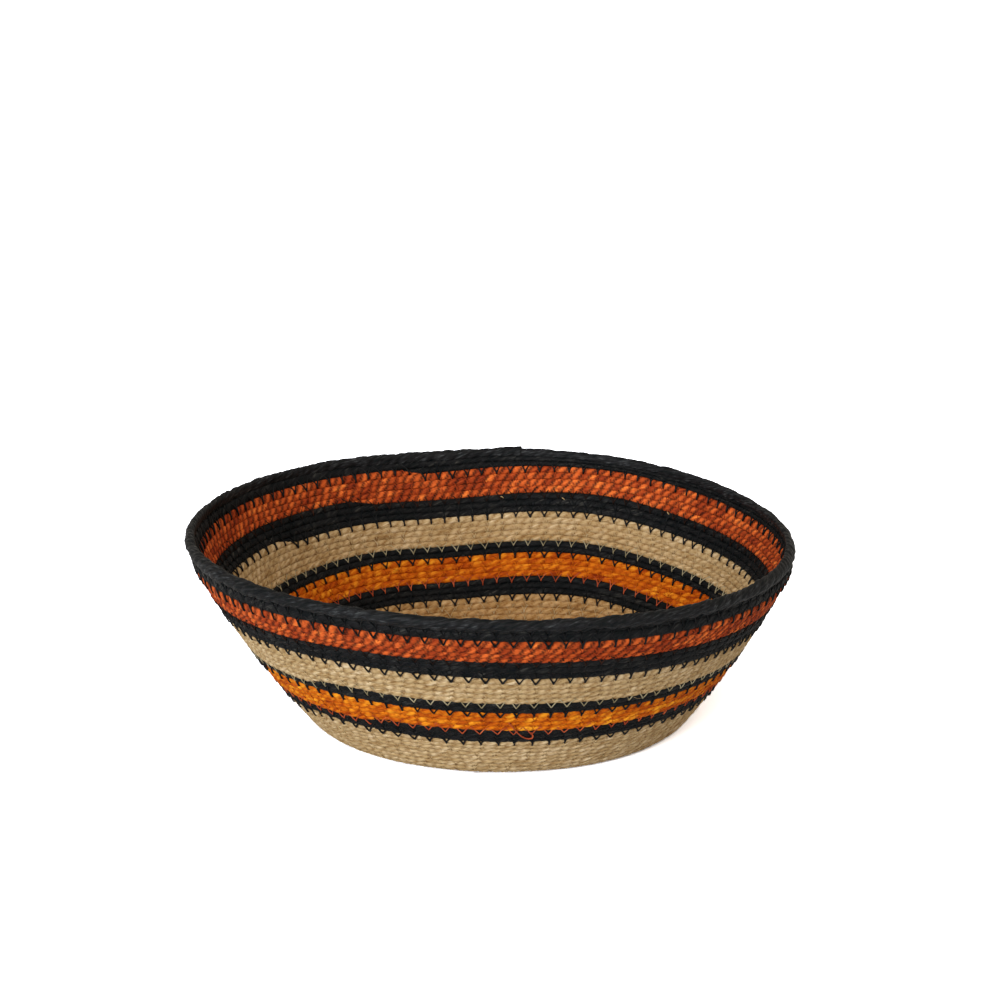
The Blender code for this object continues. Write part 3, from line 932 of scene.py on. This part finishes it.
for number, (name, first, last, finish) in enumerate(lengths):
    seed = CORD_SEEDS * number
    spliced = (name != "floor_cord", name != "rim_row_cord")
    begin = first - (SPLICE_TURNS / 2 if spliced[0] else EYE_TURNS)
    end = last + (SPLICE_TURNS / 2 if spliced[1] else LAST_STEP_SHARE / STEPS_PER_TURN)
    cords = [twisted_cord(begin, end, spliced, seed)]
    if number == 0:
        cords.append(first_bit(FIRST_BIT_SEED))
    add_piece(name.replace("_cord", "_twisted_cord"), cords, finishes[finish], (name,))
    sewn_from = max(first, SEWN_FROM)
    if number > 1:
        edge = [zigzag(first, first + 1, inside, THREAD_RADII[finish], 0.0, ARM_CURVES[finish],
                       seed + EDGE_SEED + SIDE_SEED * inside) for inside in (False, True)]
        add_piece(name.replace("_cord", "_edge_thread"), edge, threads[finish])
        sewn_from = first + 1
    if last - sewn_from > LEAST_SEWN:
        inner = [zigzag(sewn_from, last, inside, INNER_THREAD * THREAD_RADII[finish],
                        INNER_THREAD_DEPTH, ARM_CURVES[finish],
                        seed + INNER_SEED + SIDE_SEED * inside) for inside in (False, True)]
        add_piece(name.replace("_cord", "_thread"), inner, finishes[finish])
tangle = loose_thread(*ORANGE_TANGLE_PLACE, ORANGE_TANGLE, TANGLE_RADIUS, False, TANGLE_SEED)
add_piece("orange_loose_thread", [tangle], threads["orange"])
knots = [loose_thread(angle, below, KNOT, KNOT_RADIUS, True, KNOT_SEED + k)
         for k, (angle, below) in enumerate(KNOT_PLACES)]
add_piece("natural_knots", knots, finishes["natural"])
for k, (finish, count, low, high) in enumerate(STRAYS):
    fibres = stray_fibres(count, low, high, STRAY_SEED + STRAY_SEEDS * k)
    add_piece("{}_stray_fibres_{}".format(finish, k), fibres, finishes[finish])
add_piece("rolled_rim_cord", [rolled_rim(RIM_SEED)], finishes["rim"],
          ("rim_cord",))


def white_floor():
    """A wide pale floor. To the camera it is as white as the backdrop, with the soft shadow."""
    mesh = bpy.data.meshes.new("floor")
    sides = ((-1, -1), (1, -1), (1, 1), (-1, 1))
    corners = [(FLOOR_REACH * x, FLOOR_REACH * y, 0) for x, y in sides]
    mesh.from_pydata(corners, [], [(0, 1, 2, 3)])
    material = bpy.data.materials.new("pale floor")
    material.use_nodes = True
    tree = material.node_tree
    shader = tree.nodes["Principled BSDF"]
    shader.inputs["Roughness"].default_value = 0.9
    shader.inputs["Specular IOR Level"].default_value = 0.0
    path = node(tree, "ShaderNodeLightPath")
    mix = node(tree, "ShaderNodeMix", data_type="RGBA")
    mix.inputs[MIX_FIRST].default_value = FLOOR_COLOUR
    mix.inputs[MIX_SECOND].default_value = FLOOR_SEEN
    tree.links.new(path.outputs["Is Camera Ray"], mix.inputs["Factor"])
    tree.links.new(mix.outputs[MIX_RESULT], shader.inputs["Base Color"])
    mesh.materials.append(material)
    floor = bpy.data.objects.new("floor", mesh)
    bpy.context.scene.collection.objects.link(floor)


def soft_light():
    """A white surround that lights warmly, a broad soft lamp low in front on the left, and
    a fainter one high on the right.
    """
    world = bpy.data.worlds.new("studio")
    bpy.context.scene.world = world
    world.use_nodes = True
    tree = world.node_tree
    background = tree.nodes["Background"]
    background.inputs["Strength"].default_value = 1.0
    path = node(tree, "ShaderNodeLightPath")
    seen = node(tree, "ShaderNodeMath", operation="MAXIMUM")
    tree.links.new(path.outputs["Is Camera Ray"], seen.inputs[0])
    tree.links.new(path.outputs["Is Transmission Ray"], seen.inputs[1])
    mix = node(tree, "ShaderNodeMix", data_type="RGBA")
    mix.inputs[MIX_FIRST].default_value = SURROUND_LIGHT
    mix.inputs[MIX_SECOND].default_value = (1, 1, 1, 1)
    tree.links.new(seen.outputs[0], mix.inputs["Factor"])
    tree.links.new(mix.outputs[MIX_RESULT], background.inputs["Color"])

    for name, (energy, colour, spread, tilt, turn) in LAMPS.items():
        lamp = bpy.data.lights.new(name, "SUN")
        lamp.energy = energy
        lamp.color = colour
        lamp.angle = radians(spread)
        light = bpy.data.objects.new(name, lamp)
        light.rotation_euler = (radians(tilt), 0, radians(turn))
        bpy.context.scene.collection.objects.link(light)


def photo_camera():
    """The camera, where the photograph's outline and stripes place it."""
    data = bpy.data.cameras.new("camera")
    data.lens = CAMERA_LENS
    data.sensor_width = CAMERA_SENSOR
    data.clip_end = CAMERA_REACH
    camera = bpy.data.objects.new("camera", data)
    camera.location = CAMERA_PLACE + Vector(eye)
    camera.rotation_euler = (pi / 2 - CAMERA_DOWN, 0, 0)
    bpy.context.scene.collection.objects.link(camera)
    bpy.context.scene.camera = camera


white_floor()
soft_light()
photo_camera()
bpy.context.scene.view_settings.view_transform = "Standard"
